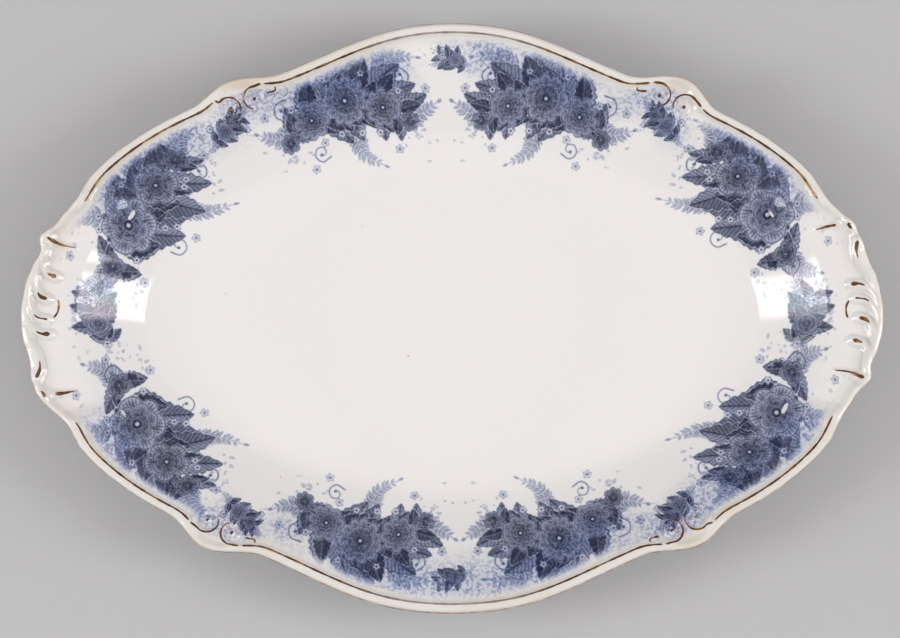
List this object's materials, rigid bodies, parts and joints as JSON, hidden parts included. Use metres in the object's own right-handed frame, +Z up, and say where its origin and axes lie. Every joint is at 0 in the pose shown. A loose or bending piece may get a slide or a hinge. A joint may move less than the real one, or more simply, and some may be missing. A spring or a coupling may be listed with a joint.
{
  "type": "serving platter",
  "caption": "Oval serving platter in glazed earthenware with a lobed rim, moulded scrolls and shell ends picked out in gold.",
  "frame": {"origin": "middle of the foot ring's flat underside, on the table", "axes": "+X along the length, +Y across the width, +Z up out of the well"},
  "size_m": [0.406, 0.279, 0.0415],
  "materials": {
    "glazed_earthenware": "glossy clear glaze over a cream white body with a blue underglaze print",
    "gilding": "worn burnished gold"
  },
  "bodies": {
    "root": {"platter_body": "glazed_earthenware", "gilt_comma_left_bottom": "gilding", "gilt_comma_left_top": "gilding", "gilt_comma_right_bottom": "gilding", "gilt_comma_right_top": "gilding", "gilt_curl_long_left_bottom": "gilding", "gilt_curl_long_left_top": "gilding", "gilt_curl_long_right_bottom": "gilding", "gilt_curl_long_right_top": "gilding", "gilt_curl_side_left_bottom": "gilding", "gilt_curl_side_left_top": "gilding", "gilt_curl_side_right_bottom": "gilding", "gilt_curl_side_right_top": "gilding", "gilt_dab_left": "gilding", "gilt_dab_right": "gilding", "gilt_dash_left": "gilding", "gilt_dash_right": "gilding", "gilt_flute_1_left": "gilding", "gilt_flute_1_right": "gilding", "gilt_flute_2_left": "gilding", "gilt_flute_2_right": "gilding", "gilt_flute_3_left": "gilding", "gilt_flute_3_right": "gilding", "gilt_flute_4_left": "gilding", "gilt_flute_4_right": "gilding", "gilt_flute_5_left": "gilding", "gilt_flute_5_right": "gilding", "gilt_line_diagonal_left_bottom": "gilding", "gilt_line_diagonal_left_top": "gilding", "gilt_line_diagonal_right_bottom": "gilding", "gilt_line_diagonal_right_top": "gilding", "gilt_line_long_bottom": "gilding", "gilt_line_long_top": "gilding"}
  },
  "joints": []
}
